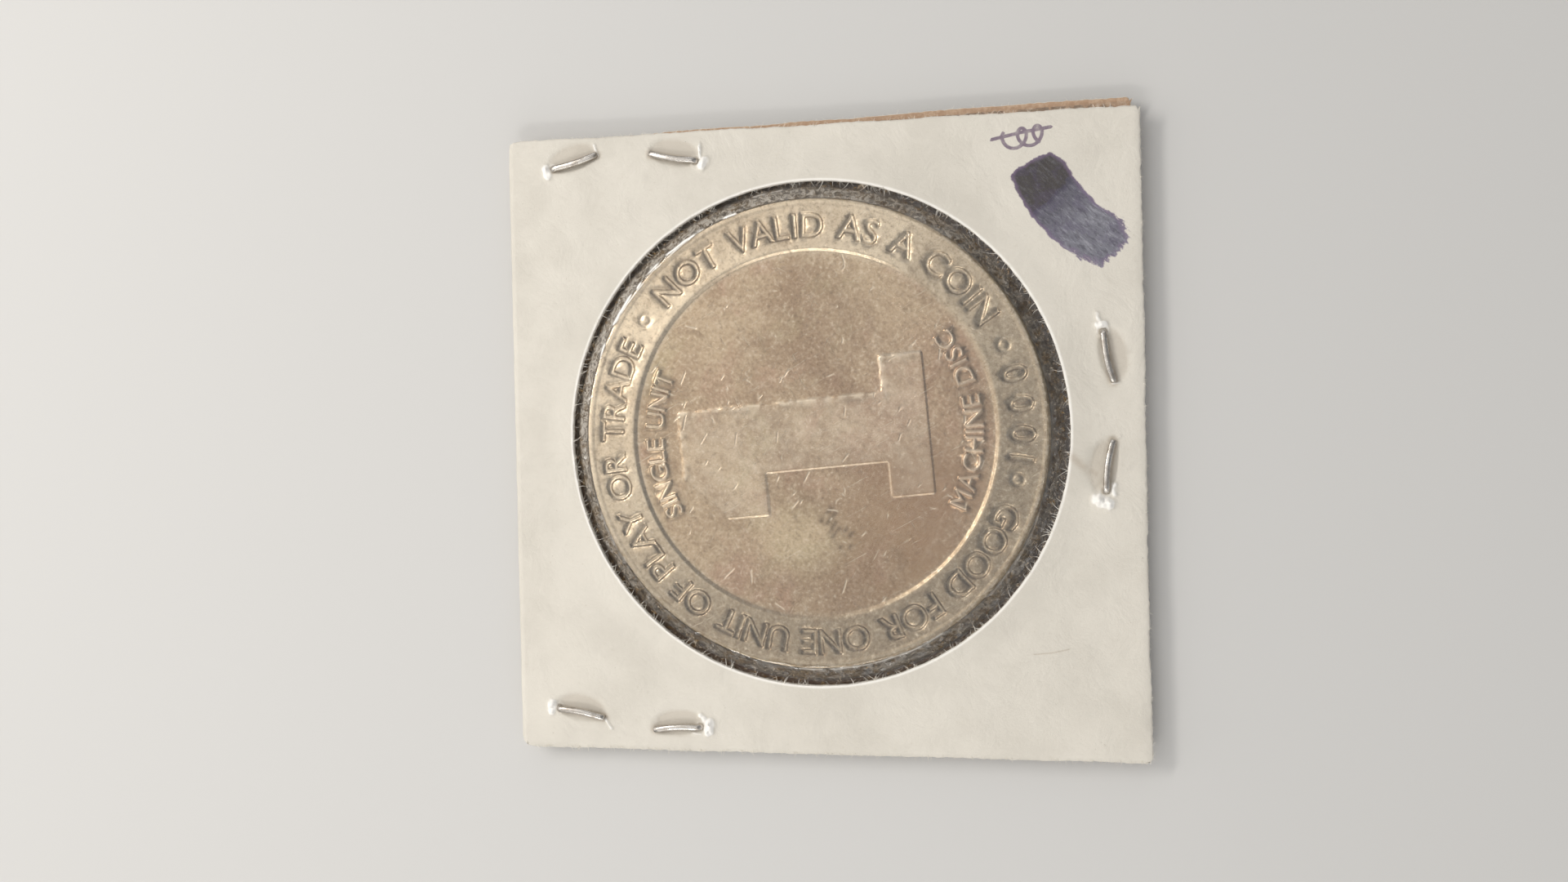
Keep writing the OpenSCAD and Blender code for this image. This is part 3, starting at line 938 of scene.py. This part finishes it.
def card_outline(trim, fall, spacing, seed):
    """A panel's outline, open side ragged, as points and how far the wall swells at each."""
    open_x, top_y = FRONT_HIGH[0] - trim, FRONT_HIGH[1] + TOP_REACH
    corners = [(FOLD_X, FRONT_LOW[1]), (open_x, FRONT_LOW[1]), (open_x, top_y - fall), (FOLD_X, top_y)]
    points, bulge = [], []
    for number, (start, end) in enumerate(zip(corners, corners[1:] + corners[:1])):
        start, end = np.array(start), np.array(end)
        length = np.hypot(*(end - start))
        direction = (end - start) / length
        normal = np.array([direction[1], -direction[0]])
        is_cut = number < 3            # the last side is the fold
        step = spacing if is_cut else 0.6
        for travelled in np.arange(0, length - step / 2, step):
            inset = 0.0
            if is_cut:
                for gap, rounded in ((travelled, number > 0), (length - travelled, number < 2)):
                    if rounded and gap < CORNER_R:
                        inset += CORNER_R - math.sqrt(CORNER_R ** 2 - (CORNER_R - gap) ** 2)
            points.append(start + direction * travelled - normal * inset)
            bulge.append(float(is_cut))
    points, bulge = np.array(points), np.array(bulge)
    x, y = points.T
    at_ends = np.abs(y - CARD_MID_Y) > 24.5
    near_fold = np.clip(1 - (x - FOLD_X) / 0.9, 0, 1)
    points[:, 1] += FOLD_PULL * near_fold ** 2 * np.where(y < CARD_MID_Y, 1, -0.4) * at_ends
    points = points - outward(points) * (0.1 * bulge)[:, None]
    x, y = points.T
    ragged = RAGGED * noise(x, y, 0.36, seed) + 1.8 * RAGGED * noise(x, y, 3.5, seed + 1)
    return points + outward(points) * (ragged * bulge)[:, None], EDGE_SWELL * bulge


INK_OUTLINE = [
    (15.8, 19.4), (16.3, 20.0), (17.5, 20.6), (18.9, 21.1), (20.0, 20.2), (20.9, 18.7), (22.2, 17.0),
    (24.1, 15.7), (24.5, 14.1), (23.8, 13.2), (22.5, 12.3), (20.8, 13.0), (19.1, 14.2), (17.3, 16.3),
    (16.4, 17.9)]
INK_START, INK_WAY = (17.0, 20.0), (0.68, -0.73)         # where the swipe starts and where it goes
PEN_MIDDLE, PEN_REACH = (16.8, 22.4), 3.2
CARD_SCRATCH = chain([(16.8, -17.3), (18.3, -17.15), (19.6, -16.85)])


def pen_line():
    """A loose squiggle: one long stroke and a row of rounded loops under it."""
    stroke = [(14.4, 22.3), (16.6, 22.7), (19.0, 23.0)]
    t = np.linspace(0, 1, 48)
    turn = 4.6 * math.pi * t + 0.6
    wave = np.stack([15.7 + 2.7 * t - 0.6 * np.sin(turn), 22.2 + 0.3 * t + 0.72 * np.cos(turn)], axis=1)
    return np.concatenate([chain(stroke), chain(wave)])


def front_marks(points):
    """Ink, pen, soil and painted shade in the staples' dents on the front panel's outer face."""
    x, y = points.T
    near_pen = np.abs(points - PEN_MIDDLE).max(1) < PEN_REACH
    pen = np.zeros(len(points))
    pen[near_pen] = np.maximum(0, FAR - to_segments(points[near_pen], pen_line()))
    soil, torn = np.zeros(len(points)), np.zeros(len(points))
    for number, leg in enumerate(LEGS):
        u, v = leg.seen_from(x, y)
        beside = np.hypot(u - np.clip(u, 0.2, LEG_REACH), v)
        # soil along each leg, with painted shade in the leg's dent and in the anvil dent beside it
        soil = np.maximum(soil, np.maximum(hump(beside, 0.45), 0.5 * anvil_dent(leg, x, y)))
        torn = np.maximum(torn, torn_paper(u, v, number) * 3.2)
    ink = np.maximum(0, FAR + depth_inside(points, chain(INK_OUTLINE, closed=True)))
    along = (points - INK_START) @ INK_WAY
    lifted = smooth((along - 2.7 + 0.3 * noise(x, y, 0.8, 26)) / 0.7)
    load = 1 - 0.5 * lifted - 0.5 * smooth((along - 3) / 5)
    soil = np.maximum(soil, 0.7 * hump(to_segments(points, CARD_SCRATCH), 0.07))
    smudge = chain(LEGS[3].entry + [(-2.5, 2.7), (-1.6, 1.9), (-0.5, 1.3)])
    patchy = smooth(0.7 + noise(x, y, 0.9, 24))
    soil = np.maximum(soil, 0.7 * hump(to_segments(points, smudge), 0.4) * patchy)
    return {"ink": ink, "ink_load": load, "pen": pen, "soil": soil, "torn": torn}


def spots_near_staples(fine):
    """Extra points round each leg, where the card is dented and torn."""
    clouds = []
    for leg in LEGS:
        local = grid((-1.6, -1.3), (LEG_REACH + 1.0, 1.3), fine)
        clouds.append(leg.entry + local[:, :1] * leg.along + local[:, 1:] * leg.across)
    return np.concatenate(clouds)


def within(points, outline, margin):
    """The points that lie inside an outline by more than the margin."""
    return points[depth_inside(points, chain(outline, closed=True)) > margin]


def add_fibres(solid, places, directions, level, count, seed, reach, droop=0.0):
    """Fine paper fibres that stand out of a cut edge, each a tapered three-sided thread."""
    draws = np.random.default_rng(seed)
    for pick in draws.integers(0, len(places), count):
        length = reach * (0.2 + 0.8 * draws.random() ** 2.5)
        lean, bend, rise = draws.normal(0, 0.8), draws.normal(0, 1.6), draws.normal(0, 0.25)
        out = directions[pick]
        aside = np.array([-out[1], out[0]])
        t = np.linspace(0, 1, 5)[:, None]
        flat = places[pick] + length * (out * t + aside * (lean * t + bend * t ** 2) * 0.5) - out * 0.1
        height = level + draws.uniform(-0.12, 0.2) + length * (rise * t - droop * t ** 2)
        height += PANEL_LIFT * (droop > 0)
        radius = 0.025 * (1.15 - t)
        rows = []
        for turn in (0, 2.09, 4.19):
            thread = flat + aside * radius * math.cos(turn)
            rows.append(np.column_stack([thread, height + radius * math.sin(turn)]))
        white = draws.uniform(0.45, 1.0)
        index = solid.add(np.stack(rows, axis=1).reshape(-1, 3), fibre=white).reshape(5, 3)
        for first, second in zip(index, index[1:]):
            solid.faces += strip(first, second)
        solid.faces += [index[0][::-1].tolist(), index[-1].tolist()]


OUTLINE_STEP = 0.16
WINDOW_CUT_R, WINDOW_POINTS = WINDOW_R + 0.07, 560
WINDOW_SWELL = 0.06


def beside_edge(outline, bulge):
    """A row of points just inside a panel's cut edges."""
    return (outline - outward(outline) * 0.12)[bulge > 0]


def panel_fill(fine, outline, spacing, seed, cell, centre=(0, 0)):
    """A panel's inner points: the fine ones, and a coarse grid where there are none."""
    coarse = grid(outline.min(0), outline.max(0), spacing, seed)
    fill = np.concatenate([fine, coarse[far_from(coarse, fine, cell)]])
    fill = fill[np.hypot(*(fill - centre).T) > WINDOW_R + 0.15]
    return within(fill, outline, 0.06)


def make_front_panel(material):
    """The front panel, with the marks and dents of its outer face and fibres on its cut edges."""
    outline, bulge = card_outline(0.0, TOP_FALL, OUTLINE_STEP, 11)
    window = ring(WINDOW_CUT_R, WINDOW_POINTS)
    window = window + window / WINDOW_R * (0.02 * noise(window[:, 0], window[:, 1], 0.5, 13))[:, None]
    ring_rows = np.concatenate([ring(WINDOW_R + gap, 480) for gap in (0.17, 0.32, 0.52, 0.8)])
    pen = thinned(along_segments(pen_line(), 0.1, (0.0, 0.07, 0.16, 0.26)), 0.06)
    ink = grid((15.4, 11.9), (25.0, 21.5), 0.24)
    ink = ink[np.abs(depth_inside(ink, chain(INK_OUTLINE, closed=True))) < 2.0]
    scratch = along_segments(CARD_SCRATCH, 0.2, (0.0, 0.08, 0.2))
    cloud = [ring_rows, beside_edge(outline, bulge), spots_near_staples(0.11), pen, ink, scratch]
    fill = panel_fill(thinned(np.concatenate(cloud), 0.06), outline, spacing=0.5, seed=1, cell=0.22)

    def top(x, y):
        return SPINE_R + lift(np.hypot(x, y)) + front_relief(x, y)

    def bottom(x, y):
        return FILM_T + lift(np.hypot(x, y))

    solid = Solid()
    add_sheet(solid, [outline, window], [bulge, WINDOW_SWELL], fill, top, bottom, front_marks, crumble=0.5)
    cut = bulge > 0
    add_fibres(solid, outline[cut], outward(outline)[cut], 0.3, count=1500, seed=14, reach=0.5)
    for count, seed, reach in ((420, 15, 1.25), (700, 18, 0.5)):
        add_fibres(solid, window, -outward(window), 0.35, count, seed, reach, droop=0.3)
    panel = solid.piece("front_panel_card", material)
    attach(panel, "holder")
    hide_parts("front_panel")


def make_back_panel(material):
    """The back panel, hung from the fold with a small turn, so it shows past the front one."""
    outline, bulge = card_outline(BACK_TRIM, 0.15, OUTLINE_STEP, 61)
    hinge = np.array([FOLD_X, CARD_MID_Y])
    outline = turned(outline - hinge, BACK_TURN) + hinge
    outline[:, 0] = np.maximum(outline[:, 0], FOLD_X)
    centre = turned([-hinge], BACK_TURN)[0] + hinge
    window = ring(WINDOW_CUT_R, WINDOW_POINTS, centre)
    ring_rows = np.concatenate([ring(WINDOW_R + gap, 420, centre) for gap in (0.17, 0.32, 0.6)])
    crowns = [along_segments(chain([a.entry, b.entry]), 0.25, (0.08, 0.25, 0.45, 0.8, 1.2))
              for a, b in zip(LEGS[::2], LEGS[1::2])]
    fine = thinned(np.concatenate([ring_rows, beside_edge(outline, bulge), *crowns]), 0.08)
    fill = panel_fill(fine, outline, spacing=0.55, seed=2, cell=0.25, centre=centre)

    def top(x, y):
        return -FILM_T - lift(np.hypot(x, y))

    def bottom(x, y):
        return -SPINE_R - lift(np.hypot(x, y)) - back_relief(x, y)

    solid = Solid()
    add_sheet(solid, [outline, window], [bulge, WINDOW_SWELL], fill, top, bottom, crumble=0.5,
              inside_up=True)
    cut = bulge > 0
    add_fibres(solid, outline[cut], outward(outline)[cut], -0.3, count=700, seed=16, reach=0.5)
    panel = solid.piece("back_panel_card", material)
    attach(panel, "holder")
    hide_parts("back_panel")


def make_fold_spine(material):
    """The folded edge of the card: half a tube, crushed a little at its two ends."""
    bottom_y, top_y = FRONT_LOW[1], FRONT_HIGH[1] + TOP_REACH
    low_end = bottom_y + np.array([0, 0.08, 0.2, 0.4, 0.6, 0.8])
    high_end = top_y - np.array([0.4, 0.2, 0.08, 0])
    along = np.concatenate([low_end, np.arange(bottom_y + 1.0, top_y - 0.6, 0.25), high_end])
    steps = 17
    bend = np.radians(np.linspace(90, 270, steps))
    solid = Solid()
    sections = []
    for y in along:
        gap = min(y - bottom_y, top_y - y)
        end = 1 - 0.12 * (1 - smooth(gap / 0.6))
        wander = 0.03 * noise(np.cos(bend) * 2, np.full(steps, y), 1.4, 71) * np.abs(np.cos(bend))
        outer = SPINE_R * end + wander
        outer[[0, -1]] = SPINE_R
        inner = np.full(steps, FILM_T)
        section = [(FOLD_X + r * math.cos(a), y, r * math.sin(a)) for r, a in zip(outer, bend)]
        section += [(FOLD_X + r * math.cos(a), y, r * math.sin(a)) for r, a in zip(inner[::-1], bend[::-1])]
        section = np.array(section)
        pulled = FOLD_PULL + 0.8 * (FOLD_X - section[:, 0])
        near_bottom, near_top = 1 - smooth((y - bottom_y) / 1.2), 1 - smooth((top_y - y) / 1.2)
        section[:, 1] += pulled * near_bottom - 0.4 * pulled * near_top
        sections.append(solid.add(section, inside=np.repeat([0.0, 1.0], steps)))
    for first, second in zip(sections, sections[1:]):
        solid.faces += strip(first, second)
    solid.faces += [sections[0][::-1].tolist(), sections[-1].tolist()]
    spine = solid.piece("fold_spine_card", material)
    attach(spine, "holder")
    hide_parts("fold_spine")


# ---- film ----
FILM_INSET = 0.4
SHOULDER_R = TOKEN_R + 0.02
SKIRT_R0, SKIRT_MID, SKIRT_R1 = 17.9, 19.05, 20.3        # where a film comes down to the card


def film_height(x, y, window_r, seed):
    """Height of a film's inner side above MID_Z, from the token out to where the card holds it."""
    radius, angle = np.hypot(x, y), np.arctan2(y, x)
    inner = FILM_TOP - FILM_T
    share = np.clip((radius - SHOULDER_R + 0.25) / (window_r - SHOULDER_R + 0.19), 0, 1)
    skirt = inner + (lift(radius) - inner) * (0.55 * share ** 1.6 + 0.45 * smooth(share))
    arc = angle * TOKEN_R
    creased = 0.1 * noise(arc, radius * 2.5, 0.9, seed) + 0.06 * noise(arc, radius * 2, 0.33, seed + 1)
    creased += 0.14 * (0.35 - np.abs(noise(arc, radius * 1.6, 0.75, seed + 4)))
    creased = creased * np.sin(math.pi * share) ** 0.7
    ripple = 0.012 * noise(x, y, 3.0, seed + 2)
    ripple += 0.01 * noise(arc, radius * 3, 0.8, seed + 3) * smooth((radius - 15) / 3)
    return skirt + creased + ripple * (radius < window_r)


def glint_line(start, end, radius, seed):
    """A wavering painted glint line on a film round part of the token's rim, angles in degrees."""
    angle = np.radians(np.arange(start, end, 0.5))
    reach = radius + 0.05 * noise(angle * TOKEN_R, angle * 0, 0.9, seed)
    return chain(np.stack([reach * np.cos(angle), reach * np.sin(angle)], axis=1))


# Each painted glint line: where it runs, and how white it is.
PAINTED_GLINTS = [(glint_line(108, 163, TOKEN_R - 0.02, 83), 1.0), (glint_line(121, 150, TOKEN_R - 0.17, 84), 0.7),
           (glint_line(266, 304, TOKEN_R + 0.02, 85), 0.45), (glint_line(318, 347, TOKEN_R + 0.1, 86), 0.3),
           (glint_line(196, 232, TOKEN_R - 0.03, 87), 0.3), (glint_line(96, 112, TOKEN_R + 0.9, 88), 0.4)]


# The painted sheen on the front film's flank: the angle where it is strongest, how strong it is everywhere,
# and then each strong part's turn from that angle, spread in degrees and strength.
SHEEN_AT, SHEEN_LEAST = 155, 0.16
FLANK_SHEEN = [(0, 58, 0.58), (150, 40, 0.2), (-95, 35, 0.25), (-58, 26, 0.26)]


def glint_and_sheen_marks(points):
    """Where the front film has painted white glint lines along the token's rim, and a painted sheen on its
    flank round the token.
    """
    white = np.zeros(len(points))
    radius, angle = np.hypot(*points.T), np.degrees(np.arctan2(points[:, 1], points[:, 0]))
    near = np.abs(radius - TOKEN_R - 0.4) < 0.9
    for line, strength in PAINTED_GLINTS:
        fade = smooth(0.75 + noise(*points[near].T, 0.8, 89))
        whitened = strength * fade * hump(to_segments(points[near], line), 0.1) * 1.3
        white[near] = np.maximum(white[near], whitened)
    turn = (angle - SHEEN_AT + 180) % 360 - 180
    haze = np.full(len(points), SHEEN_LEAST)
    for middle, spread, strength in FLANK_SHEEN:
        haze += strength * hump(turn - middle, spread)
    haze *= smooth((radius - TOKEN_R + 0.1) / 0.15)
    haze *= 1 - smooth((radius - WINDOW_R + 0.75) / 0.4)
    return {"crease": white, "haze": haze}


def make_film(name, node, sign, trim, turn, material, seed):
    """A square of film that domes over one face of the token and lies flat between the card's panels.

    sign is 1 for the front film and -1 for the back one; trim and turn follow its panel."""
    low, high = FRONT_LOW[:2] + FILM_INSET, FRONT_HIGH[:2] - FILM_INSET
    hinge = np.array([FOLD_X, CARD_MID_Y])
    corners = [(FOLD_X, low[1]), (high[0] - trim, low[1]), (high[0] - trim, high[1]), (FOLD_X, high[1])]
    sides = chain(turned(np.array(corners) - hinge, turn) + hinge, closed=True)
    outline = np.concatenate([np.linspace(start, end, 60, endpoint=False) for start, end in sides])
    outline[:, 0] = np.maximum(outline[:, 0], FOLD_X)
    window_r = WINDOW_R - 0.06 if sign > 0 else RAMP_R0
    radii = np.arange(SKIRT_R0, SKIRT_R1, 0.14)
    cloud = np.concatenate([ring(radius, 500 + 2 * (i % 2)) for i, radius in enumerate(radii)])
    coarse = grid(outline.min(0), outline.max(0), 0.9, seed=3)
    away = np.abs(np.hypot(*coarse.T) - SKIRT_MID) > 1.4
    lines = [along_segments(line, 0.16, (0.0, 0.05, 0.1)) for line, _ in PAINTED_GLINTS if sign > 0]
    fine = thinned(np.concatenate([*lines, cloud]), 0.05)
    fill = within(np.concatenate([fine, coarse[away]]), outline, 0.1)

    def inner(x, y):
        return sign * film_height(x, y * sign, window_r, seed)

    def outer(x, y):
        return inner(x, y) + sign * FILM_T

    solid = Solid()
    if sign > 0:
        add_sheet(solid, [outline], [0.0], fill, outer, inner, glint_and_sheen_marks)
    else:
        add_sheet(solid, [outline], [0.0], fill, inner, outer)
    film = solid.piece(name, material)
    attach(film, "holder")
    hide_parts(node)


# ---- staples ----
def staple_path(place):
    """The middle line of a staple, from the tip of one clinched leg to the tip of the other."""
    def half(side):
        leg = Leg(place, side)
        steps = np.radians(np.linspace(0, 90, 6))
        foot = CROWN_Z + BEND_R
        shoulder = CLINCH_Z - BEND_R
        crown_in = [(leg.entry + leg.crown_along * BEND_R * (1 - math.sin(a)), foot - BEND_R * math.cos(a))
                    for a in steps]
        rise = [(leg.entry, foot + (shoulder - foot) * t) for t in (0.33, 0.66)]
        over = [(leg.entry + leg.along * BEND_R * (1 - math.cos(a)), shoulder + BEND_R * math.sin(a))
                for a in steps]
        flat = []
        for t in np.linspace(0.12, 1, 12):
            reach = BEND_R + (LEG_REACH - BEND_R) * t
            bow = 0.06 * math.sin(math.pi * t) - 0.16 * t ** 3
            aside = 0.14 * math.sin(math.pi * t) * side
            flat.append((leg.entry + leg.along * reach + leg.across * aside, CLINCH_Z + bow))
        return crown_in + rise + over + flat
    right, left = half(1), half(-1)
    crown = [(left[0][0] + (right[0][0] - left[0][0]) * t, CROWN_Z + 0.04 * math.sin(math.pi * t))
             for t in np.linspace(0, 1, 14)[1:-1]]
    line = left[::-1] + crown + right
    return np.array([(*flat, z) for flat, z in line])


def squared(wave):
    """Pushes a sine wave towards a square one, as a column, for a wire with flattened sides."""
    return (np.sign(wave) * np.abs(wave) ** 0.75)[:, None]


def make_staple(name, place, material):
    """A slightly flattened wire swept along its path, with sheared ends."""
    path = staple_path(place)
    sides = 16
    tangent = np.gradient(path, axis=0)
    tangent /= np.linalg.norm(tangent, axis=1)[:, None]
    side = np.cross(tangent[0], (0, 0, 1.0))
    solid = Solid()
    rows = []
    around = np.arange(sides) * 2 * math.pi / sides
    for point, direction in zip(path, tangent):
        side = side - direction * (side @ direction)
        side /= np.linalg.norm(side)
        up = np.cross(side, direction)
        section = (squared(np.cos(around)) * side * 0.5 + squared(np.sin(around)) * up * 0.42) * WIRE_D
        rows.append(solid.add(point + section))
    for first, second in zip(rows, rows[1:]):
        solid.faces += strip(first, second)
    for row, point, direction in ((rows[0], path[0], -tangent[0]), (rows[-1], path[-1], tangent[-1])):
        ring_points = np.concatenate(solid.points)[row]
        sheared = point + (ring_points - point) * 0.72 + direction * 0.1
        sheared[:, 2] -= 0.02
        inner = solid.add(sheared)
        tip = solid.add([sheared.mean(0) + direction * 0.01])
        facing = row is rows[-1]
        solid.faces += strip(row, inner) if facing else strip(inner, row)
        closing = [[int(inner[k]), int(inner[(k + 1) % sides]), int(tip[0])] for k in range(sides)]
        solid.faces += closing if facing else [f[::-1] for f in closing]
    staple = solid.piece(name + "_wire", material)
    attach(staple, "holder")
    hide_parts(name)


# ---- stage ----
def add_lamp(name, location, size, watts, colour):
    """A rectangular lamp at a place in millimetres, aimed at the middle of the token."""
    lamp = bpy.data.lights.new(name, "AREA")
    lamp.shape = "RECTANGLE"
    lamp.size, lamp.size_y = size[0] * MM, size[1] * MM
    lamp.energy = watts
    lamp.color = colour
    holder = bpy.data.objects.new(name, lamp)
    bpy.context.scene.collection.objects.link(holder)
    holder.location = Vector(location) * MM
    holder.rotation_euler = (-Vector(location)).to_track_quat("-Z", "Y").to_euler()


# Name, place and size in millimetres, watts and colour of each lamp.
LAMPS = [
    ("key_left", (-230, 0, 150), (260, 260), 0.238, (1.0, 0.97, 0.93)),
    ("glint_left", (-165, 95, 190), (150, 18), 0.255, (1.0, 0.97, 0.93)),
    ("fill_near", (-20, -230, 150), (260, 260), 0.238, (1.0, 0.98, 0.95)),
    ("glint_near", (-60, -190, 215), (120, 24), 0.1, (1.0, 0.98, 0.95)),
    ("fill_far", (0, 230, 150), (260, 200), 0.119, (1.0, 0.98, 0.96)),
    ("top_soft", (-70, 25, 330), (240, 240), 0.17, (1.0, 0.98, 0.96)),
    ("fill_right", (230, -60, 150), (260, 200), 0.051, (0.97, 0.98, 1.0)),
    ("fill_corner", (200, -200, 85), (300, 150), 0.05, (0.99, 0.99, 1.0)),
]
FLOOR_Z = -2e-5                    # in metres, just under the lowest piece
FLOOR_REACH = 3.0
# The camera's place in millimetres, the way it looks, and which way is up in its picture.
CAMERA_PLACE = (19.47, 0.59, 106.86)
CAMERA_LOOK = (-0.2035, -0.0104, -0.9790)
CAMERA_UP = (0.0195, 0.9997, -0.0146)
FOCAL_LENGTH, SENSOR_WIDTH = 30.94, 36


def make_camera():
    """The camera above the token, leaning in from the free side of the card."""
    lens = bpy.data.cameras.new("camera")
    lens.lens = FOCAL_LENGTH
    lens.sensor_width = SENSOR_WIDTH
    lens.clip_start = 0.005
    camera = bpy.data.objects.new("camera", lens)
    bpy.context.scene.collection.objects.link(camera)
    camera.location = Vector(CAMERA_PLACE) * MM
    forward = Vector(CAMERA_LOOK).normalized()
    right = forward.cross(Vector(CAMERA_UP)).normalized()
    up = right.cross(forward)
    camera.rotation_euler = Matrix((right, up, -forward)).transposed().to_euler()
    bpy.context.scene.camera = camera


def make_stage():
    """A plain pale floor, soft light from all sides, strongest from the left and the near side."""
    f = Finish("floor")
    f.set(Base_Color=(0.62, 0.61, 0.59, 1), Roughness=0.85)
    mesh = bpy.data.meshes.new("floor")
    corners = [(x * FLOOR_REACH, y * FLOOR_REACH, FLOOR_Z) for x, y in ((-1, -1), (1, -1), (1, 1), (-1, 1))]
    mesh.from_pydata(corners, [], [(0, 1, 2, 3)])
    mesh.materials.append(f.material)
    floor = bpy.data.objects.new("floor", mesh)
    bpy.context.scene.collection.objects.link(floor)
    for lamp in LAMPS:
        add_lamp(*lamp)
    world = bpy.data.worlds.new("studio")
    world.use_nodes = True
    background = world.node_tree.nodes["Background"]
    background.inputs["Color"].default_value = (0.9, 0.92, 0.95, 1)
    background.inputs["Strength"].default_value = 0.25
    bpy.context.scene.world = world
    bpy.context.scene.view_settings.view_transform = "Standard"


def main():
    """Makes every piece and then the stage around them."""
    make_token(token_material())
    plain_card = card_material("card_board")
    make_front_panel(card_material("card_board_marked", marked=True))
    make_back_panel(plain_card)
    make_fold_spine(plain_card)
    make_film("front_window_film", "front_film", sign=1, trim=0.0, turn=0.0,
              material=film_material("film_clear_front"), seed=81)
    make_film("back_window_film", "back_film", sign=-1, trim=BACK_TRIM, turn=BACK_TURN,
              material=film_material("film_clear_back"), seed=91)
    wire = wire_material()
    for name, place in STAPLES.items():
        make_staple(name, place, wire)
    make_stage()
    make_camera()


main()
